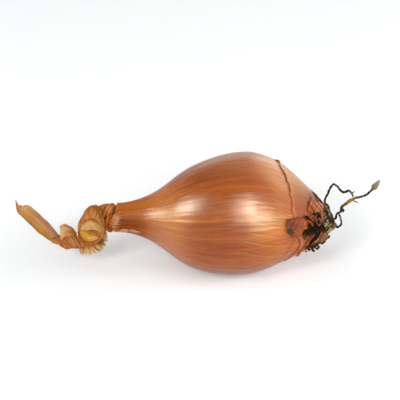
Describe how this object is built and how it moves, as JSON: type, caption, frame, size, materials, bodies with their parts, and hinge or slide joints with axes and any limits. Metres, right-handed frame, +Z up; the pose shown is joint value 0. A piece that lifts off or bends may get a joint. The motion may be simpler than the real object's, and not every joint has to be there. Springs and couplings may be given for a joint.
{
  "type": "shallot",
  "caption": "Long brown shallot lying on its side, with a drawn-out neck that ends in dried curled leaves, a torn remnant of outer skin at the root end, and a corky root plate with dry roots.",
  "frame": {"origin": "middle of the small flat spot on the belly that the bulb rests on", "axes": "+X runs along the bulb from the neck to the root plate, +Y points to the back, +Z is up"},
  "size_m": [0.1096, 0.0362, 0.0364],
  "materials": {
    "glossy_skin": "gloss",
    "papery_skin": "satin",
    "dark_skin": "matte",
    "dry_leaf": "satin",
    "cork": "matte",
    "dry_root": "matte"
  },
  "bodies": {
    "root": {"bulb": "glossy_skin", "base_skin": "papery_skin", "flake_spotted": "papery_skin", "flake_lifted": "papery_skin", "flake_dark": "dark_skin", "flake_lower": "dark_skin", "flake_ragged": "dark_skin", "root_plate": "cork", "long_root": "dry_root", "looped_root": "dry_root", "short_root": "dry_root", "neck_leaves": "dry_leaf", "leaf_curl": "dry_leaf", "frayed_leaf": "dry_leaf", "tip_leaf": "dry_leaf"}
  },
  "joints": []
}
